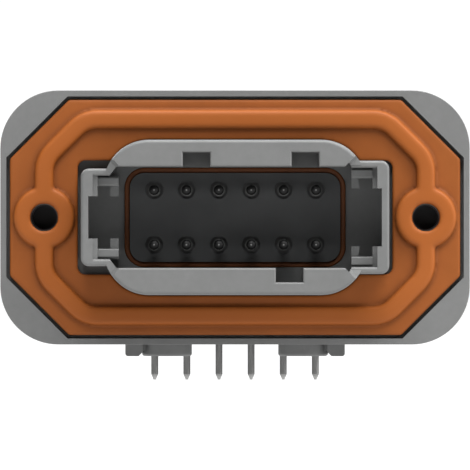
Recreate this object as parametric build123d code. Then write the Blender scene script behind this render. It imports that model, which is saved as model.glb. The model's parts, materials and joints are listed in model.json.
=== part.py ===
from build123d import *
from math import cos, radians, sin, sqrt
import os

# Sealed flange-mount board header, twelve ways in two rows of six, with right-angle tails.
# Millimetres. X runs along the flange, the mating mouth faces -Y, the board lies below, facing -Z.
# The origin is the centre of the flange's front rim, the plane that meets the panel.

# Contacts: a grid of round rods, turned down to a pin at one end and to a tail at the other
columns = 6
column_pitch = 5.08
row_pitch = 8.58
pin_d = 1.57
pin_exposed = 11.8
pin_nose_r = 0.62
pin_step_gap = 0.2
shank_d = 1.9
shank_fit = 0.02
shank_bend_r = 2.4
collar_d = 2.6
collar_len = 1.6
tail_d = 1.1
tail_above_board = 2.3
tail_below_board = 3.74
tail_taper = 0.87
tail_tip_d = 0.35
front_tail_y = 14.2
tail_row_pitch = 5.08

# Flange, with the pocket that takes the gasket
flange_w = 73.9
flange_h = 40.0
flange_t = 5.2
flange_corner_r = 9.13
flange_edge_r = 0.1
pocket_rim = 0.94
pocket_chamfer = 9.63
pocket_depth = 3.2

# Screws that pull the flange to the panel, each in a blind boss
flange_screw_pitch = 60.1
flange_hole_d = 3.75
flange_hole_depth = 8.0
flange_boss_d = 8.2
flange_boss_cap = 1.6

# Flange gasket: a flat sheet with one raised bead that joins two screw pads
gasket_gap = 0.55
gasket_sheet_t = 3.1
gasket_corner_r = 0.5
gasket_opening_gap = 0.1
gasket_opening_end_gap = 0.61
gasket_opening_r = 1.2
bead_w = 2.9
bead_h = 1.2
bead_edge_r = 0.6
bead_path_h = 30.88
bead_path_chamfer = 6.36
bead_path_r = 4.7
pad_d = 9.65
pad_hole_d = 4.4

# Shroud that the mating plug slides into
shroud_len = 19.5
shroud_side_wall = 2.35
shroud_top_wall = 4.235
shroud_corner_r = 7.15
shroud_edge_r = 0.55
cavity_w = 36.5
cavity_h = 15.86
cavity_depth = 18.0
key_w = 4.27
key_depth = 2.25
upper_keys_x = (-6.04, 11.0)
lower_keys_x = (8.53,)
corner_nick = 0.65
nick_apex_inset = 0.39
mouth_edge_r = 0.3

# Latch ears, one at each end; the plug goes in one way round because the windows differ
ear_reach = 24.16
ear_setback = 1.8
ear_corner_r = 1.3
ear_edge_r = 0.45
ear_end_wall = 1.16
ear_leg_t = 1.12
window_half_left = 3.31
window_half_right = 4.54
window_floor_step = 0.5
rail_t = 1.38
rail_setback = 2.4
rail_edge_r = 0.25
rail_slot = 0.24
rail_slot_depth = 3.0
catch_h = 1.6
catch_w = 1.31
catch_setback = 4.0
catch_len = 3.6
catch_slant = 0.25
notch_reach = 21.55
ledge_w = 0.75
left_ledge_setback = 0.8
right_ledge_setback = 2.9
lip_end_angle = 49.0
lip_end_steep = (0.45, 1.2)
lip_end_reach = 1.9
left_lip_inset = 0.16
left_wedge = ((18.62, 7.91), (19.68, 6.53))

# Contact block and the seal that rings it
block_w = 33.1
block_h = 14.0
block_corner_r = 2.3
block_proud = 0.7
block_fit = 0.1
block_rim = 1.3
block_rim_t = 1.6
well_d = 2.75
well_depth = 1.5
potting_border = 1.4
potting_t = 1.2
seal_w = 0.85
seal_depth = 1.9
seal_proud = 0.2
seal_edge_r = 0.25
seal_wall_gap = 0.01

# Rear hood, open at the back and below, standing on the board
board_drop = 21.86
hood_back = 22.6
hood_half_w = 20.0
hood_top = 10.4
hood_wall = 1.6
hood_step_z = 10.2
hood_corner_r = 1.2
foot_half_w = 17.3
foot_t = 2.75
foot_round = 0.45
foot_chamfer = 0.65

# Bosses that take the board screws
board_boss_bite = 0.1
board_boss_y = 7.3
board_boss_d = 7.84
board_boss_top = 9.4
board_boss_round = 0.4
board_hole_d = 2.6
board_hole_depth = 9.0
boss_rib_t = 4.0
boss_rib_lift = 0.8

# Stiffening ribs behind the flange
rib_t = 1.6
rib_len = 5.0
rib_rise = 6.0
top_ribs_x = (-13.0, 0.0, 13.0)

# Tine plate that spaces the tails above the board
plate_t = 2.0
plate_lift = 2.4
plate_fit = 0.1
plate_groove = 0.6
plate_front_y = 11.4
tine_gap = 0.15
tine_lead_in = 0.3

# Places that follow from the sizes above
shroud_w = cavity_w + 2 * shroud_side_wall
shroud_h = cavity_h + 2 * shroud_top_wall
shroud_front = -shroud_len
cavity_floor = shroud_front + cavity_depth
window_floor = cavity_floor + window_floor_step
ear_front = shroud_front + ear_setback
rail_front = ear_front + rail_setback
catch_front = rail_front + catch_setback
seal_seat = cavity_floor + seal_depth
block_front = cavity_floor - block_proud
block_back = flange_t + block_rim_t
tray_floor = block_back - potting_t
pin_tip = block_front - pin_exposed
column_x = [(i - (columns - 1) / 2) * column_pitch for i in range(columns)]
rows = {"upper": (row_pitch / 2, front_tail_y + tail_row_pitch), "lower": (-row_pitch / 2, front_tail_y)}
board_screw_pitch = 2 * (foot_half_w - foot_t + board_boss_bite) - board_boss_d
over = 1.0
mitre = 2 - sqrt(2)


def slab(outline, front, back):
    """An outline drawn in X and Z, made solid between two depths."""
    return extrude(Plane.XZ.offset(-back) * outline, amount=back - front)


def layer(outline, bottom, top):
    """An outline drawn in X and Y, made solid between two heights."""
    return extrude(Plane.XY.offset(bottom) * outline, amount=top - bottom)


def bar(x, y, z):
    """A block between two values on each axis."""
    size = [abs(high - low) for low, high in (x, y, z)]
    middle = [(low + high) / 2 for low, high in (x, y, z)]
    return Pos(*middle) * Box(*size)


def octagon(width, height, leg):
    """A rectangle with all four corners cut at 45 degrees."""
    return chamfer(Rectangle(width, height).vertices(), leg)


def front_edges(solid):
    """The edges round the face that looks furthest to the front."""
    return solid.faces().sort_by(Axis.Y)[0].edges()


def both_halves(solid):
    """A solid and its mirror image below it."""
    return solid + mirror(solid, about=Plane.XY)


def pocket_outline(inset=0.0):
    """The gasket pocket, or the same outline a little smaller."""
    trim = 2 * (pocket_rim + inset)
    return octagon(flange_w - trim, flange_h - trim, pocket_chamfer - inset * mitre)


def screw_places():
    """Both flange screws, in X and Z."""
    return [Pos(side * flange_screw_pitch / 2, 0) for side in (-1, 1)]


def leg_height(window_half):
    """Where a leg's inner face is: window, catch, rail and slot, one above the other."""
    return window_half + catch_h + rail_t + rail_slot


def ear_half_height(window_half):
    return leg_height(window_half) + ear_leg_t


def flange():
    plate = slab(RectangleRounded(flange_w, flange_h, flange_corner_r), 0, flange_t)
    plate = fillet(front_edges(plate), flange_edge_r)
    plate -= slab(pocket_outline(), 0, pocket_depth)
    boss_back = pocket_depth + flange_hole_depth + flange_boss_cap
    for place in screw_places():
        plate += slab(place * Circle(flange_boss_d / 2), pocket_depth, boss_back)
    return plate


def lip_end(corner_x, corner_z):
    """What slopes the front lip down to the ear, at the upper right corner."""
    angle = radians(lip_end_angle)
    outward = (sin(angle), 0, -cos(angle))
    along = (cos(angle), 0, sin(angle))
    plane = Plane(origin=(corner_x, shroud_front, corner_z), x_dir=outward, z_dir=along)
    reach = cavity_h / 2
    slope = Polyline((0, -over), (0, 0), lip_end_steep, (lip_end_reach, ear_setback),
                     (reach, ear_setback), (reach, -over), close=True)
    return extrude(plane * make_face(slope), amount=reach, both=True)


def shroud():
    tube = slab(RectangleRounded(shroud_w, shroud_h, shroud_corner_r), shroud_front, pocket_depth)
    tube = fillet(front_edges(tube), shroud_edge_r)
    right = lip_end(cavity_w / 2 - nick_apex_inset, cavity_h / 2 + corner_nick)
    left = mirror(lip_end(cavity_w / 2 - left_lip_inset, cavity_h / 2), about=Plane.YZ)
    return tube - both_halves(right) - both_halves(left)


def ear(window_half):
    """One latch ear, at the right-hand end and not yet hollow."""
    width = 2 * (ear_reach - shroud_w / 2 + shroud_corner_r)
    outline = RectangleRounded(width, 2 * ear_half_height(window_half), ear_corner_r)
    body = slab(Pos(ear_reach - width / 2, 0) * outline, ear_front, pocket_depth)
    return fillet(front_edges(body), ear_edge_r)


def edge_round(x, front, z, upward, radius):
    """What rounds off a front edge along X, with its material above the edge or below it."""
    outline = Polyline((front - over, z), (front - over, z + upward * radius), (front, z + upward * radius),
                       (front + radius, z), close=True)
    rod = Pos(front + radius, z + upward * radius) * Circle(radius)
    cutter = extrude(Plane.YZ.offset(x[0]) * (make_face(outline) - rod), amount=x[1] - x[0])
    return cutter


def ear_hollow(window_half, ledge_back, slant):
    """The T-shaped latch window, the room in front of the rails and the undercut behind each catch."""
    inner = cavity_w / 2
    notch_half = window_half + catch_h
    rail_half = notch_half + rail_t
    leg = leg_height(window_half)
    mouth = shroud_front - over
    ledge = (notch_reach, notch_reach + ledge_w)
    cross = (inner - over, notch_reach)
    hollow = bar((inner - over, ear_reach - ear_end_wall), (mouth, window_floor), (-window_half, window_half))
    hollow += bar(cross, (mouth, rail_front), (-leg, leg))
    hollow += bar(ledge, (mouth, ledge_back), (-leg, leg))
    hollow += both_halves(bar(cross, (mouth, rail_front + rail_slot_depth), (rail_half, leg)))
    catch = Polyline((inner + catch_w, window_half), (inner + catch_w - slant, notch_half),
                     (notch_reach, notch_half), (notch_reach, window_half), close=True)
    hollow += both_halves(slab(make_face(catch), mouth, window_floor))
    behind = (inner - over, inner + catch_w + over)
    hollow += bar(behind, (rail_front, catch_front), (-notch_half, notch_half))
    hollow += bar(behind, (catch_front + catch_len, window_floor), (-notch_half, notch_half))
    hollow += both_halves(edge_round((inner, ledge[1]), ear_front, leg, 1, ear_edge_r))
    hollow += both_halves(edge_round(cross, rail_front, notch_half, 1, rail_edge_r))
    hollow += both_halves(edge_round(cross, rail_front, rail_half, -1, rail_edge_r))
    return hollow


def left_corner():
    """The slanted recess where the cavity's corner runs out into the smaller ear."""
    inner = cavity_w / 2 - over
    (top_x, top_z), (low_x, low_z) = left_wedge
    outline = Polyline((inner, low_z), (low_x, low_z), (top_x, top_z), (inner, top_z), close=True)
    return mirror(both_halves(slab(make_face(outline), shroud_front - over, cavity_floor)), about=Plane.YZ)


def cavity():
    """Room for the plug, with its three key slots and the nicks in the two right-hand corners."""
    mouth = shroud_front - over
    half_w, half_h = cavity_w / 2, cavity_h / 2
    room = slab(Rectangle(cavity_w, cavity_h), mouth, cavity_floor)
    for side, keys in ((1, upper_keys_x), (-1, lower_keys_x)):
        for x in keys:
            z = sorted((side * (half_h - over), side * (half_h + key_depth)))
            room += bar((x - key_w / 2, x + key_w / 2), (mouth, cavity_floor), z)
    apex = half_w - nick_apex_inset
    nick = Polyline((apex - corner_nick, half_h), (apex, half_h + corner_nick), (half_w, half_h),
                    (apex, half_h - over), close=True)
    return room + both_halves(slab(make_face(nick), mouth, cavity_floor))


def block_seat():
    """The stepped hole that holds the seal in front and the contact block behind."""
    groove = 2 * seal_w
    seal_room = RectangleRounded(block_w + groove, block_h + groove, block_corner_r + seal_w)
    fit = 2 * block_fit
    body_room = RectangleRounded(block_w + fit, block_h + fit, block_corner_r + block_fit)
    seat = slab(seal_room, cavity_floor - over, seal_seat)
    return seat + slab(body_room, seal_seat - over, flange_t + over)


def hood():
    """Roof, cheeks and feet behind the flange: one profile, stepped in above the board."""
    step = hood_wall - hood_step_z
    inside, foot_inside = hood_half_w - hood_wall, foot_half_w - foot_t
    half = Polyline((0, hood_top), (hood_half_w, hood_top), (hood_half_w, -hood_step_z),
                    (foot_half_w, -hood_step_z), (foot_half_w, -board_drop), (foot_inside, -board_drop),
                    (foot_inside, step), (inside, step), (inside, hood_top - hood_wall),
                    (0, hood_top - hood_wall), close=True)
    wall = slab(make_face(half), flange_t - over, hood_back)
    wall = fillet(along_y(wall, hood_half_w, hood_top), hood_corner_r)
    wall = fillet(along_y(wall, foot_half_w, -board_drop), foot_round)
    wall = chamfer(along_y(wall, foot_inside, -board_drop), foot_chamfer)
    groove_y = (plate_front_y - plate_fit, hood_back + over)
    wall -= bar((0, foot_inside + plate_groove), groove_y, plate_heights(plate_fit))
    return wall + mirror(wall, about=Plane.YZ)


def along_y(solid, x, z):
    """The edge of a profile's corner, found by its place."""
    return solid.edges().filter_by(Axis.Y).sort_by_distance((x, (flange_t + hood_back) / 2, z))[0]


def plate_heights(gap=0.0):
    """Bottom and top of the tine plate, with room round it if a gap is given."""
    bottom = -board_drop + plate_lift
    return (bottom - gap, bottom + plate_t + gap)


def board_bosses():
    """Two posts on the board, each tied to its foot by a rib."""
    half = board_screw_pitch / 2
    foot_inside = foot_half_w - foot_t
    post = layer(Pos(half, board_boss_y) * Circle(board_boss_d / 2), -board_drop, -board_boss_top)
    post = fillet(post.faces().sort_by(Axis.Z)[0].edges(), board_boss_round)
    rib_y = (board_boss_y - boss_rib_t / 2, board_boss_y + boss_rib_t / 2)
    post += bar((half, foot_inside + foot_t / 2), rib_y, (-board_drop + boss_rib_lift, -hood_step_z))
    return post + mirror(post, about=Plane.YZ)


def ribs():
    """Gussets between the flange and the roof, and a web from each flange boss to the cheek."""
    sloped = Polyline((flange_t, hood_top), (flange_t + rib_len, hood_top), (flange_t, hood_top + rib_rise),
                      close=True)
    gusset = extrude(Plane.YZ * make_face(sloped), amount=rib_t / 2, both=True)
    web_x = (hood_half_w - hood_wall / 2, flange_screw_pitch / 2)
    web = bar(web_x, (flange_t - over, flange_t + rib_len), (-rib_t / 2, rib_t / 2))
    webs = web + mirror(web, about=Plane.YZ)
    for x in top_ribs_x:
        webs += Pos(x, 0, 0) * gusset
    return webs


def mouth_edges(solid):
    """The straight edges where the cavity and its key slots open to the front."""
    rim = solid.edges().filter_by_position(Axis.Y, shroud_front - 0.01, shroud_front + 0.01)
    rim = rim.filter_by_position(Axis.Z, -cavity_h / 2 - key_depth - 0.01, cavity_h / 2 + key_depth + 0.01)
    return [edge for edge in rim if abs(edge.center().X) < cavity_w / 2 - 1.5]


def housing():
    right, left = window_half_right, window_half_left
    body = flange() + shroud() + ear(right) + mirror(ear(left), about=Plane.YZ)
    body += hood() + board_bosses() + ribs()
    body -= cavity()
    body -= ear_hollow(right, ear_front + right_ledge_setback, catch_slant)
    body -= mirror(ear_hollow(left, ear_front + left_ledge_setback, 0), about=Plane.YZ) + left_corner()
    body -= block_seat()
    body = fillet(mouth_edges(body), mouth_edge_r)
    for place in screw_places():
        body -= slab(place * Circle(flange_hole_d / 2), -over, pocket_depth + flange_hole_depth)
    for side in (-1, 1):
        hole = Pos(side * board_screw_pitch / 2, board_boss_y) * Circle(board_hole_d / 2)
        body -= layer(hole, -board_drop - over, -board_drop + board_hole_depth)
    return body


def flange_gasket():
    sheet_front = pocket_depth - gasket_sheet_t
    sheet_outline = fillet(pocket_outline(gasket_gap).vertices(), gasket_corner_r)
    sheet = slab(sheet_outline, sheet_front, pocket_depth)
    band = bead_outline(bead_w / 2) - bead_outline(-bead_w / 2)
    for place in screw_places():
        band += place * Circle(pad_d / 2)
    bead = slab(band, sheet_front - bead_h, sheet_front)
    bead = fillet(front_edges(bead), bead_edge_r)
    gap = 2 * gasket_opening_gap
    ears_h = 2 * ear_half_height(max(window_half_left, window_half_right)) + gap
    opening = RectangleRounded(2 * (ear_reach + gasket_opening_end_gap), ears_h, gasket_opening_r)
    opening += RectangleRounded(shroud_w + gap, shroud_h + gap, shroud_corner_r + gasket_opening_gap)
    gasket = sheet + bead - slab(opening, sheet_front - over, pocket_depth + over)
    for place in screw_places():
        gasket -= slab(place * Circle(pad_hole_d / 2), sheet_front - bead_h - over, pocket_depth + over)
    return gasket


def bead_outline(side):
    """The bead's centre line through both screws, moved out or in by half its width."""
    outline = octagon(flange_screw_pitch + 2 * side, bead_path_h + 2 * side, bead_path_chamfer + side * mitre)
    return fillet(outline.vertices(), bead_path_r + side)


def contact_block():
    body = slab(RectangleRounded(block_w, block_h, block_corner_r), block_front, flange_t)
    rim_w, rim_h = block_w + 2 * block_rim, block_h + 2 * block_rim
    body += slab(RectangleRounded(rim_w, rim_h, block_corner_r + block_rim), flange_t, block_back)
    body -= potting_room()
    for x in column_x:
        for z, _ in rows.values():
            place = Pos(x, z)
            body -= slab(place * Circle(shank_d / 2 + shank_fit), block_front - over, tray_floor + over)
            body -= slab(place * Circle(well_d / 2), block_front - over, block_front + well_depth)
            body -= slab(place * Circle(collar_d / 2 + shank_fit), tray_floor - collar_len, tray_floor + over)
    return body


def potting_room():
    """The tray in the block's back that the sealing compound fills."""
    size = (block_w - 2 * potting_border, block_h - 2 * potting_border)
    return slab(RectangleRounded(*size, block_corner_r - potting_border / 2), tray_floor, block_back)


def potting():
    fill = potting_room()
    for x in column_x:
        for z, _ in rows.values():
            fill -= slab(Pos(x, z) * Circle(shank_d / 2 + shank_fit), tray_floor - over, block_back + over)
    return fill


def block_seal():
    reach = seal_w - seal_wall_gap
    outer = RectangleRounded(block_w + 2 * reach, block_h + 2 * reach, block_corner_r + reach)
    front = cavity_floor - seal_proud
    ring = slab(outer, front, seal_seat)
    gap = 2 * seal_wall_gap
    inner = RectangleRounded(block_w + gap, block_h + gap, block_corner_r + seal_wall_gap)
    ring -= slab(inner, front - over, seal_seat + over)
    return fillet(front_edges(ring), seal_edge_r)


def contact(row):
    """One contact: a nosed pin, a collared shank bent down through a quarter turn, and a pointed tail."""
    z, tail_y = rows[row]
    pin_end = block_front - pin_step_gap
    pin = slab(Circle(pin_d / 2), pin_tip, pin_end)
    pin = fillet(front_edges(pin), pin_nose_r)
    shoulder = -board_drop + tail_above_board - z
    route = FilletPolyline((0, pin_end, 0), (0, tail_y, 0), (0, tail_y, shoulder), radius=shank_bend_r)
    shank = sweep(Plane.XZ.offset(-pin_end) * Circle(shank_d / 2), path=route)
    collar = slab(Circle(collar_d / 2), tray_floor - collar_len, tray_floor)
    tip = -board_drop - tail_below_board - z
    tail = layer(Pos(0, tail_y) * Circle(tail_d / 2), tip + tail_taper, shoulder)
    point = Pos(0, tail_y, tip + tail_taper / 2) * Cone(tail_tip_d / 2, tail_d / 2, tail_taper)
    return Pos(0, 0, z) * (pin + shank + collar + tail + point)


def tine_plate():
    half_w = foot_half_w - foot_t + plate_groove - plate_fit
    depth = hood_back - plate_front_y
    middle = plate_front_y + depth / 2
    bottom, top = plate_heights()
    plate = layer(Pos(0, middle) * Rectangle(2 * half_w, depth), bottom, top)
    for x in column_x:
        for _, tail_y in rows.values():
            hole_r = shank_d / 2 + tine_gap
            plate -= layer(Pos(x, tail_y) * Circle(hole_r), bottom - over, top + over)
            lead_in = Cone(hole_r, hole_r + tine_lead_in, tine_lead_in)
            plate -= Pos(x, tail_y, top - tine_lead_in / 2) * lead_in
    return plate


def save(shape, name):
    export_step(shape, f"parts/{name}.step")
    print(name, round(shape.volume, 2))


os.makedirs("parts", exist_ok=True)
save(housing(), "housing")
save(flange_gasket(), "flange_gasket")
save(contact_block(), "contact_block")
save(block_seal(), "block_seal")
save(potting(), "potting")
save(tine_plate(), "tine_plate")
for row in rows:
    shape = contact(row)
    for number, x in enumerate(column_x, start=1):
        save(Pos(x, 0, 0) * shape, f"contact_{row}_{number}")
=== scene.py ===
# Sealed board header: finishes, moulded rubber, light and camera
import bpy
import bmesh
import json
import math
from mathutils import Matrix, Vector


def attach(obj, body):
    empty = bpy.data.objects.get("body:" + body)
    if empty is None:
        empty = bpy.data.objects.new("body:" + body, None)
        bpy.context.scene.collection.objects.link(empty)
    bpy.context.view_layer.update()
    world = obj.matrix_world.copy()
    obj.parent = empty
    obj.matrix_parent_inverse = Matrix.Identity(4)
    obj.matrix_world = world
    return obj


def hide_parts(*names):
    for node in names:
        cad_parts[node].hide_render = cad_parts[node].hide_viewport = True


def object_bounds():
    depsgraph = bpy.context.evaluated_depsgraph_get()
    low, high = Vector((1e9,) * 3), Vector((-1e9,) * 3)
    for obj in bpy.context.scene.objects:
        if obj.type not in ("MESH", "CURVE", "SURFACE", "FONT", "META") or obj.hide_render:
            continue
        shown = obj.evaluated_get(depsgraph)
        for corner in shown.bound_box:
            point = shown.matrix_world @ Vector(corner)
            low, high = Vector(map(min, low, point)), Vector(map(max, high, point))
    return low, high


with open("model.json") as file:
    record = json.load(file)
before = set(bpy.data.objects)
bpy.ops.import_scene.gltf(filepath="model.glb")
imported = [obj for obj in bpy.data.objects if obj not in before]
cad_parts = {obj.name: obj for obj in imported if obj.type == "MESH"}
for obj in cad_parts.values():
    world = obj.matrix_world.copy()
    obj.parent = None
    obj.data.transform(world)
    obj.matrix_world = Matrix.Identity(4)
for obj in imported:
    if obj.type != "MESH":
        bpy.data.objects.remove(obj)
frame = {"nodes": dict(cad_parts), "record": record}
cadLow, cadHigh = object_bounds()
mm = 0.001
nodes = frame["nodes"]
print("frame loaded,", len(nodes), "nodes")


def colour(red, green, blue):
    return (red, green, blue, 1)


class Link:  # an output socket that can be used in sums
    def __init__(self, recipe, socket):
        self.recipe, self.socket = recipe, socket

    def maths(self, operation, first, second):
        return self.recipe.maths(operation, first, second)

    def __add__(self, other):
        return self.maths("ADD", self, other)

    def __radd__(self, other):
        return self.maths("ADD", other, self)

    def __sub__(self, other):
        return self.maths("SUBTRACT", self, other)

    def __mul__(self, other):
        return self.maths("MULTIPLY", self, other)

    def __rmul__(self, other):
        return self.maths("MULTIPLY", other, self)


class Recipe:  # a material built from nodes, with its patterns in the part's own metres
    def __init__(self, name):
        self.material = bpy.data.materials.new(name)
        self.material.use_nodes = True
        self.tree = self.material.node_tree
        self.tree.nodes.clear()
        self.place = self.node("ShaderNodeTexCoord", {}, {}, "Object")

    def node(self, kind, settings, sockets, out=0):
        made = self.tree.nodes.new(kind)
        for key, value in settings.items():
            setattr(made, key, value)
        for key, value in sockets.items():
            if isinstance(value, Link):
                self.tree.links.new(value.socket, made.inputs[key])
            else:
                made.inputs[key].default_value = value
        return Link(self, made.outputs[out])

    def noise(self, size, detail=2.0, rough=0.5, stretch=(1, 1, 1)):  # size of one blotch, in metres
        at = self.node("ShaderNodeVectorMath", {"operation": "MULTIPLY"}, {0: self.place, 1: stretch})
        sockets = {"Vector": at, "Scale": 1 / size, "Detail": detail, "Roughness": rough}
        return self.node("ShaderNodeTexNoise", {}, sockets)

    def maths(self, operation, first, second=0.0):
        return self.node("ShaderNodeMath", {"operation": operation}, {0: first, 1: second})

    def axis(self, name):
        return self.node("ShaderNodeSeparateXYZ", {}, {0: self.place}, name)

    def reach(self, first, second):  # how far a point lies from an axis, from its two distances
        return self.maths("SQRT", first * first + second * second)

    def between(self, value, start, end):  # 0 at the start, 1 at the end
        sockets = {"Value": value, "From Min": start, "From Max": end}
        return self.node("ShaderNodeMapRange", {"clamp": True}, sockets)

    def ramp(self, value, stops):  # a grey level from two stops
        made = self.node("ShaderNodeValToRGB", {}, {0: value})
        for element, (position, level) in zip(made.socket.node.color_ramp.elements, stops):
            element.position = position
            element.color = colour(level, level, level)
        return made

    def blend(self, factor, first, second):
        return self.node("ShaderNodeMix", {"data_type": "RGBA"}, {0: factor, 6: first, 7: second}, 2)

    def bump(self, height, distance):
        sockets = {"Height": height, "Distance": distance, "Strength": 1.0}
        return self.node("ShaderNodeBump", {}, sockets, "Normal")

    def surface(self, sockets):
        shader = self.node("ShaderNodeBsdfPrincipled", {}, sockets)
        output = self.tree.nodes.new("ShaderNodeOutputMaterial")
        self.tree.links.new(shader.socket, output.inputs["Surface"])
        return self.material


plasticGrey = dict(
    base=colour(0.19, 0.192, 0.19), worn=colour(0.214, 0.216, 0.214), tones=[(0.35, 0), (0.65, 1)],
    blotch=9 * mm, blotchShare=0.6, streak=1.2 * mm, streakStretch=(1, 0.12, 1), streakShare=0.4,
    grain=0.16 * mm, grainDepth=0.006 * mm, streakDepth=0.3, smoothest=0.35, streakRough=0.1, grainRough=0.04,
    paintedBoreShade=colour(0.03, 0.032, 0.034), screwX=30.05 * mm, boreRadius=2.0 * mm, boreFade=0.05 * mm,
    boreEnd=11.3 * mm, boreEndFade=0.1 * mm)


def greyPlastic(look):  # the two screw bores are painted near-black: painted shade for the deep holes
    recipe = Recipe("greyPlastic")
    blotch = recipe.noise(look["blotch"], detail=3.0)
    streak = recipe.noise(look["streak"], rough=0.6, stretch=look["streakStretch"])
    grain = recipe.noise(look["grain"], rough=0.65)
    tone = recipe.ramp(blotch * look["blotchShare"] + streak * look["streakShare"], look["tones"])
    aside = recipe.maths("ABSOLUTE", recipe.axis("X")) - look["screwX"]
    radius = recipe.reach(aside, recipe.axis("Z"))
    inside = recipe.between(radius, look["boreRadius"] + look["boreFade"], look["boreRadius"])
    # painted shade: a near-black colour inside the screw bores, up to their blind ends
    paintedBoreShade = inside * recipe.between(recipe.axis("Y"), look["boreEnd"] + look["boreEndFade"], look["boreEnd"])
    return recipe.surface({
        "Base Color": recipe.blend(paintedBoreShade, recipe.blend(tone, look["base"], look["worn"]), look["paintedBoreShade"]),
        "Roughness": look["smoothest"] + look["streakRough"] * streak + look["grainRough"] * grain,
        "Normal": recipe.bump(grain + look["streakDepth"] * streak, look["grainDepth"])})


plasticDark = dict(
    # the pale colour here is painted light for the wells round the pins
    base=colour(0.078, 0.08, 0.081), worn=colour(0.095, 0.097, 0.098), paintedWellLight=colour(0.2, 0.2, 0.2),
    tones=[(0.35, 0), (0.65, 1)], wellLightFrom=-2.1 * mm, wellLightFull=-1.7 * mm, wellLightFade=0.0, wellLightEnd=1.0 * mm,
    blotch=6 * mm, grain=0.14 * mm, grainDepth=0.006 * mm, smoothest=0.46, grainRough=0.12)


def darkPlastic(look):  # painted light: the wells round the pins are made paler, to lift the shade in them
    recipe = Recipe("darkPlastic")
    blotch = recipe.noise(look["blotch"], detail=3.0)
    grain = recipe.noise(look["grain"], rough=0.65)
    tone = recipe.ramp(blotch, look["tones"])
    along = recipe.axis("Y")
    # painted light: paler from just inside the block's face down to the well floors
    inWell = recipe.between(along, look["wellLightFrom"], look["wellLightFull"])
    wellLight = inWell - recipe.between(along, look["wellLightFade"], look["wellLightEnd"])
    return recipe.surface({
        "Base Color": recipe.blend(wellLight, recipe.blend(tone, look["base"], look["worn"]), look["paintedWellLight"]),
        "Roughness": look["smoothest"] + look["grainRough"] * grain,
        "Normal": recipe.bump(grain, look["grainDepth"])})


siliconeOrange = dict(
    # the colour for the raised parts is a lit copy of the sheet colour: painted light
    sheet=colour(0.315, 0.086, 0.0135), raised=colour(0.41, 0.11, 0.0165), bloom=colour(0.41, 0.115, 0.02),
    # root is the colour of painted shade in inner corners
    root=colour(0.12, 0.03, 0.004), sheetFace=0.1 * mm, raisedFace=-0.9 * mm, blooms=[(0.35, 0), (0.75, 0.6)],
    blotch=7 * mm, pore=0.22 * mm, poreDepth=0.006 * mm, smoothest=0.46, blotchRough=0.12, rootRough=0.35,
    gloss=0.3)
# a darker copy of the orange silicone: painted shade for the ring deep in the cavity
shadedSiliconeSeal = dict(
    siliconeOrange, sheet=colour(0.205, 0.067, 0.021), raised=colour(0.205, 0.067, 0.021),
    bloom=colour(0.25, 0.08, 0.025))


def orangeSilicone(name, look):  # painted light makes the raised parts a little brighter, and painted shade darkens inner corners, which are also dull
    recipe = Recipe(name)
    blotch = recipe.noise(look["blotch"], detail=4.0, rough=0.6)
    pore = recipe.noise(look["pore"], rough=0.6)
    # painted light: the raised bead and pads get the brighter colour
    height = recipe.between(recipe.axis("Y"), look["sheetFace"], look["raisedFace"])
    bloom = recipe.ramp(blotch, look["blooms"])
    crease = recipe.node("ShaderNodeAttribute", {"attribute_name": "crease"}, {}, "Fac")
    body = recipe.blend(bloom, recipe.blend(height, look["sheet"], look["raised"]), look["bloom"])
    return recipe.surface({
        # painted shade: the crease amount darkens inner corners towards the root colour
        "Base Color": recipe.blend(crease, body, look["root"]),
        "Roughness": look["smoothest"] + look["blotchRough"] * blotch + look["rootRough"] * crease,
        "Specular IOR Level": look["gloss"],
        "Normal": recipe.bump(pore, look["poreDepth"])})


tinPlate = dict(
    # the nose colour is painted shade, the tip colour a painted glint and the tail-tip colour a painted
    # highlight
    paintedNoseShade=colour(0.035, 0.035, 0.035), shaft=colour(0.2, 0.2, 0.195), tail=colour(0.34, 0.34, 0.335),
    paintedTipGlint=colour(0.34, 0.34, 0.335), tailTipHighlight=colour(0.62, 0.62, 0.61), edgeTint=colour(0.12, 0.12, 0.12),
    columnPitch=5.08 * mm, columnMiddle=0.5, rowHeight=4.29 * mm, tipReach=0.16 * mm, tipCore=0.08 * mm,
    tipEdge=-13.85 * mm, tipFace=-13.9 * mm, noseEnd=-12.2 * mm, shaftStart=-10.5 * mm, shaftEnd=0.0,
    tailStart=4 * mm, tailTipTop=-24.6 * mm, tailTipFull=-25.2 * mm, noseMetallic=1.0, metallic=0.6,
    smoothest=0.41, cloud=1.6 * mm, cloudRough=0.12, drawLine=0.09 * mm, lineStretch=(1, 0.1, 0.1),
    lineDepth=0.002 * mm)


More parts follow.
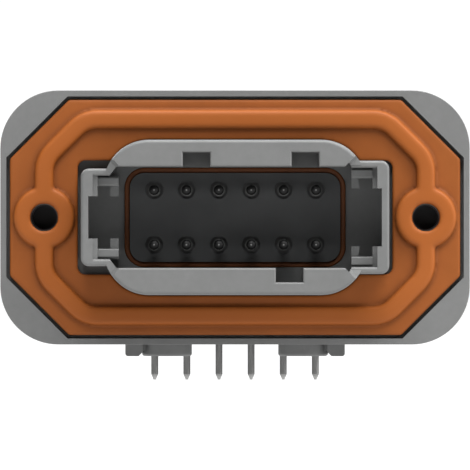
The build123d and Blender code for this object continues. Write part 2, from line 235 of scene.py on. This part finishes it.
def tinnedMetal(look):  # matt tin plate: painted shade makes the noses dark, a painted glint lights each tip, the shafts are paler and a painted highlight brightens the tails' ends
    recipe = Recipe("tinnedMetal")
    cloud = recipe.noise(look["cloud"], detail=3.0)
    line = recipe.noise(look["drawLine"], rough=0.6, stretch=look["lineStretch"])
    along = recipe.axis("Y")
    share = recipe.maths("FRACT", recipe.axis("X") * (1 / look["columnPitch"]))
    column = share - look["columnMiddle"]  # 0 on every pin
    row = recipe.maths("ABSOLUTE", recipe.axis("Z")) - look["rowHeight"]
    # painted glint: a small bright spot at the centre of each pin tip
    spot = recipe.between(recipe.reach(column * look["columnPitch"], row), look["tipReach"], look["tipCore"])
    tipGlint = spot * recipe.between(along, look["tipEdge"], look["tipFace"])
    shaft = recipe.between(along, look["noseEnd"], look["shaftStart"])
    tail = recipe.between(along, look["shaftEnd"], look["tailStart"])
    # painted highlight: the pointed tail ends are brighter
    tailTipHighlight = recipe.between(recipe.axis("Z"), look["tailTipTop"], look["tailTipFull"])
    tails = recipe.blend(tailTipHighlight, look["tail"], look["tailTipHighlight"])
    # painted shade: the nose colour is near-black
    body = recipe.blend(tail, recipe.blend(shaft, look["paintedNoseShade"], look["shaft"]), tails)
    return recipe.surface({
        "Base Color": recipe.blend(tipGlint, body, look["paintedTipGlint"]),
        "Metallic": look["noseMetallic"] + (look["metallic"] - look["noseMetallic"]) * shaft,
        "Specular Tint": look["edgeTint"],
        "Roughness": look["smoothest"] + look["cloudRough"] * cloud,
        "Normal": recipe.bump(line, look["lineDepth"])})


castResin = dict(
    base=colour(0.018, 0.018, 0.02), smoothest=0.2, ripple=3 * mm, rippleRough=0.12, rippleDepth=0.03 * mm)


def blackResin(look):
    recipe = Recipe("blackResin")
    ripple = recipe.noise(look["ripple"])
    return recipe.surface({
        "Base Color": look["base"],
        "Roughness": look["smoothest"] + look["rippleRough"] * ripple,
        "Normal": recipe.bump(ripple, look["rippleDepth"])})


finishes = {
    "housing_grey": greyPlastic(plasticGrey),
    "insert_dark": darkPlastic(plasticDark),
    "seal_orange": orangeSilicone("orangeSilicone", siliconeOrange),
    "contact_metal": tinnedMetal(tinPlate),
    "potting_black": blackResin(castResin)}
shadedSealFinish = orangeSilicone("sealSiliconeShaded", shadedSiliconeSeal)
print("materials made:", ", ".join(finishes))

for part in frame["record"]["subparts"]:
    obj = nodes[part["node"]]
    obj.data.materials.clear()
    obj.data.materials.append(finishes[part["material_slot"]])
print("materials given to the nodes")

# what lies in front of crownFrom is rounded, rootLevels are the middle of the remesh's sloping strip and the
# sheet's face, and an inner corner of crispFrom or more, in radians, keeps its edge
mouldedGasket = dict(
    node="flange_gasket", finish=finishes["seal_orange"], voxel=0.25 * mm, rounds=0, crownFrom=-0.12 * mm,
    crownRounds=7, rootLevels=(-0.07 * mm, 0.1 * mm), rootSlack=0.07 * mm, rootPull=0.7, creaseSpread=2,
    creaseGain=1.6, crispFrom=0.5)
mouldedSeal = dict(  # too thin for roots or a crown of its own
    mouldedGasket, node="block_seal", finish=shadedSealFinish, voxel=0.12 * mm, rounds=1, crownRounds=0,
    rootLevels=(), creaseSpread=0, creaseGain=0.0, crispFrom=math.inf)
weldGap = 0.002 * mm
smoothFactor = 0.5


def smoothed(shape, verts, rounds):
    for turn in range(rounds):
        bmesh.ops.smooth_vert(shape, verts=verts, factor=smoothFactor, use_axis_x=True, use_axis_y=True,
                              use_axis_z=True)


def creases(shape, spread, gain):  # how much of an inner corner each point lies in, 0 to 1
    amount = [0.0] * len(shape.verts)
    for edge in shape.edges:
        inward = max(0.0, -edge.calc_face_angle_signed(0.0))
        for vert in edge.verts:
            amount[vert.index] += inward / math.pi
    for turn in range(spread):
        wide = list(amount)
        for vert in shape.verts:
            around = [amount[edge.other_vert(vert).index] for edge in vert.link_edges]
            wide[vert.index] = (amount[vert.index] + sum(around)) / (1 + len(around))
        amount = wide
    return [min(1.0, gain * value) for value in amount]


def crispRoots(shape, level, slack, pull):  # draws in the sloping strip that a remesh leaves under a wall
    for vert in shape.verts:
        if abs(vert.co.y - level) > slack:
            continue
        around = [edge.other_vert(vert).co for edge in vert.link_edges]
        feet = [place for place in around if place.y < level - slack]
        if feet:
            foot = sum(feet, Vector()) / len(feet)
            vert.co.x += pull * (foot.x - vert.co.x)
            vert.co.y = level
            vert.co.z += pull * (foot.z - vert.co.z)


def mouldedRubber(name, look):  # a rubber piece with the soft edges that a mould leaves
    obj = bpy.data.objects.new(name, nodes[look["node"]].data.copy())
    bpy.context.scene.collection.objects.link(obj)
    shape = bmesh.new()
    shape.from_mesh(obj.data)
    bmesh.ops.remove_doubles(shape, verts=shape.verts, dist=weldGap)
    shape.to_mesh(obj.data)
    shape.free()
    remesh = obj.modifiers.new("remesh", "REMESH")
    remesh.mode = "VOXEL"
    remesh.voxel_size = look["voxel"]
    mesh = bpy.data.meshes.new_from_object(obj.evaluated_get(bpy.context.evaluated_depsgraph_get()))
    obj.modifiers.clear()
    shape = bmesh.new()
    shape.from_mesh(mesh)
    shape.verts.index_update()
    for level in look["rootLevels"]:
        crispRoots(shape, level, look["rootSlack"], look["rootPull"])
    crease = creases(shape, look["creaseSpread"], look["creaseGain"])
    corners = [(edge, -edge.calc_face_angle_signed(0.0)) for edge in shape.edges]  # above 0 if inner
    smoothed(shape, shape.verts, look["rounds"])
    smoothed(shape, [vert for vert in shape.verts if vert.co.y < look["crownFrom"]], look["crownRounds"])
    for face in shape.faces:
        face.smooth = True
    for edge, angle in corners:
        edge.smooth = angle < look["crispFrom"]
    shape.to_mesh(mesh)
    shape.free()
    # the crease amount is kept for the painted shade in the silicone's colour
    mesh.attributes.new("crease", "FLOAT", "POINT").data.foreach_set("value", crease)
    mesh.materials.clear()
    mesh.materials.append(look["finish"])
    obj.data = mesh
    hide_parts(look["node"])
    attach(obj, "root")
    print(name, "made with", len(mesh.polygons), "faces, creases up to", round(max(crease), 2))


mouldedRubber("moulded_gasket", mouldedGasket)
mouldedRubber("moulded_seal", mouldedSeal)

view = dict(
    pixels=470, pixelSize=0.15742 * mm, centreX=-0.008 * mm, centreZ=-2.763 * mm, lens=1700, sensor=36,
    clipStart=0.1, clipEnd=100)


def camera(look):  # so far off that the view has hardly any perspective
    data = bpy.data.cameras.new("camera")
    data.type = "PERSP"
    data.sensor_width = look["sensor"]
    data.lens = look["lens"]
    distance = look["pixels"] * look["pixelSize"] * look["lens"] / look["sensor"]
    data.clip_start = look["clipStart"]
    data.clip_end = look["clipEnd"]
    obj = bpy.data.objects.new("camera", data)
    obj.location = (look["centreX"], -distance, look["centreZ"])
    obj.rotation_euler = (math.radians(90), 0, 0)
    bpy.context.scene.collection.objects.link(obj)
    bpy.context.scene.camera = obj


paleFloor = dict(
    size=12.0, drop=0.05 * mm, base=colour(0.12, 0.12, 0.12), roughness=0.9, nearGlow=0.96, farGlow=1.0,
    nearReach=0.2, farReach=0.8, bounce=colour(0.74, 0.74, 0.74))


def floor(look):  # pale and softly lit; what the part gets back from it is less than what the camera sees
    recipe = Recipe("paleFloor")
    away = recipe.node("ShaderNodeVectorMath", {"operation": "LENGTH"}, {0: recipe.place}, "Value")
    edge = recipe.between(away, look["nearReach"], look["farReach"])
    seen = look["nearGlow"] + (look["farGlow"] - look["nearGlow"]) * edge
    ray = recipe.node("ShaderNodeLightPath", {}, {}, "Is Camera Ray")
    material = recipe.surface({
        "Base Color": look["base"],
        "Roughness": look["roughness"],
        "Specular IOR Level": 0.0,
        "Emission Color": recipe.blend(ray, look["bounce"], seen),
        "Emission Strength": 1.0})
    mesh = bpy.data.meshes.new("floor")
    shape = bmesh.new()
    bmesh.ops.create_grid(shape, x_segments=1, y_segments=1, size=look["size"] / 2)
    bmesh.ops.translate(shape, verts=shape.verts, vec=(0, 0, cadLow.z - look["drop"]))
    shape.to_mesh(mesh)
    shape.free()
    mesh.materials.append(material)
    obj = bpy.data.objects.new("floor", mesh)
    bpy.context.scene.collection.objects.link(obj)


lampRig = dict(distance=1.5, size=0.8, lamps=[  # round: degrees right of the camera, up: above the floor
    dict(name="overhead", round=0, up=88, power=11.0),
    dict(name="aboveFront", round=0, up=65, power=4.9),
    dict(name="front", round=0, up=43, power=8.0),
    dict(name="highRight", round=60, up=55, power=15.8),
    dict(name="highLeft", round=-60, up=55, power=2.6),
    dict(name="lowRight", round=60, up=17, power=5.2),
    dict(name="right", round=90, up=12, power=4.1),
    dict(name="behindLeft", round=-140, up=35, power=9.0),
    dict(name="behindRight", round=150, up=40, power=6.0)])


def lamp(rig, look):
    data = bpy.data.lights.new(look["name"], "AREA")
    data.shape = "DISK"
    data.size = rig["size"]
    data.energy = look["power"]
    obj = bpy.data.objects.new(look["name"], data)
    side, height = math.radians(look["round"]), math.radians(look["up"])
    level = math.cos(height)
    towards = Vector((math.sin(side) * level, -math.cos(side) * level, math.sin(height)))
    obj.location = rig["distance"] * towards
    obj.rotation_mode = "QUATERNION"
    obj.rotation_quaternion = (-towards).to_track_quat("-Z", "Y")
    bpy.context.scene.collection.objects.link(obj)


whiteRoom = dict(backdrop=1.05, ambient=0.01)


def surroundings(look):  # the camera sees a white backdrop, and the part gets a softer light from it
    world = bpy.data.worlds.new("whiteRoom")
    world.use_nodes = True
    tree = world.node_tree
    tree.nodes.clear()
    seen = tree.nodes.new("ShaderNodeBackground")
    seen.inputs["Strength"].default_value = look["backdrop"]
    light = tree.nodes.new("ShaderNodeBackground")
    light.inputs["Strength"].default_value = look["ambient"]
    for shader in (seen, light):
        shader.inputs["Color"].default_value = colour(1, 1, 1)
    ray = tree.nodes.new("ShaderNodeLightPath")
    mix = tree.nodes.new("ShaderNodeMixShader")
    output = tree.nodes.new("ShaderNodeOutputWorld")
    tree.links.new(ray.outputs["Is Camera Ray"], mix.inputs["Fac"])
    tree.links.new(light.outputs[0], mix.inputs[1])
    tree.links.new(seen.outputs[0], mix.inputs[2])
    tree.links.new(mix.outputs[0], output.inputs["Surface"])
    bpy.context.scene.world = world


camera(view)
floor(paleFloor)
for look in lampRig["lamps"]:
    lamp(lampRig, look)
surroundings(whiteRoom)
bpy.context.scene.view_settings.view_transform = "Standard"
print("camera, floor and light set")
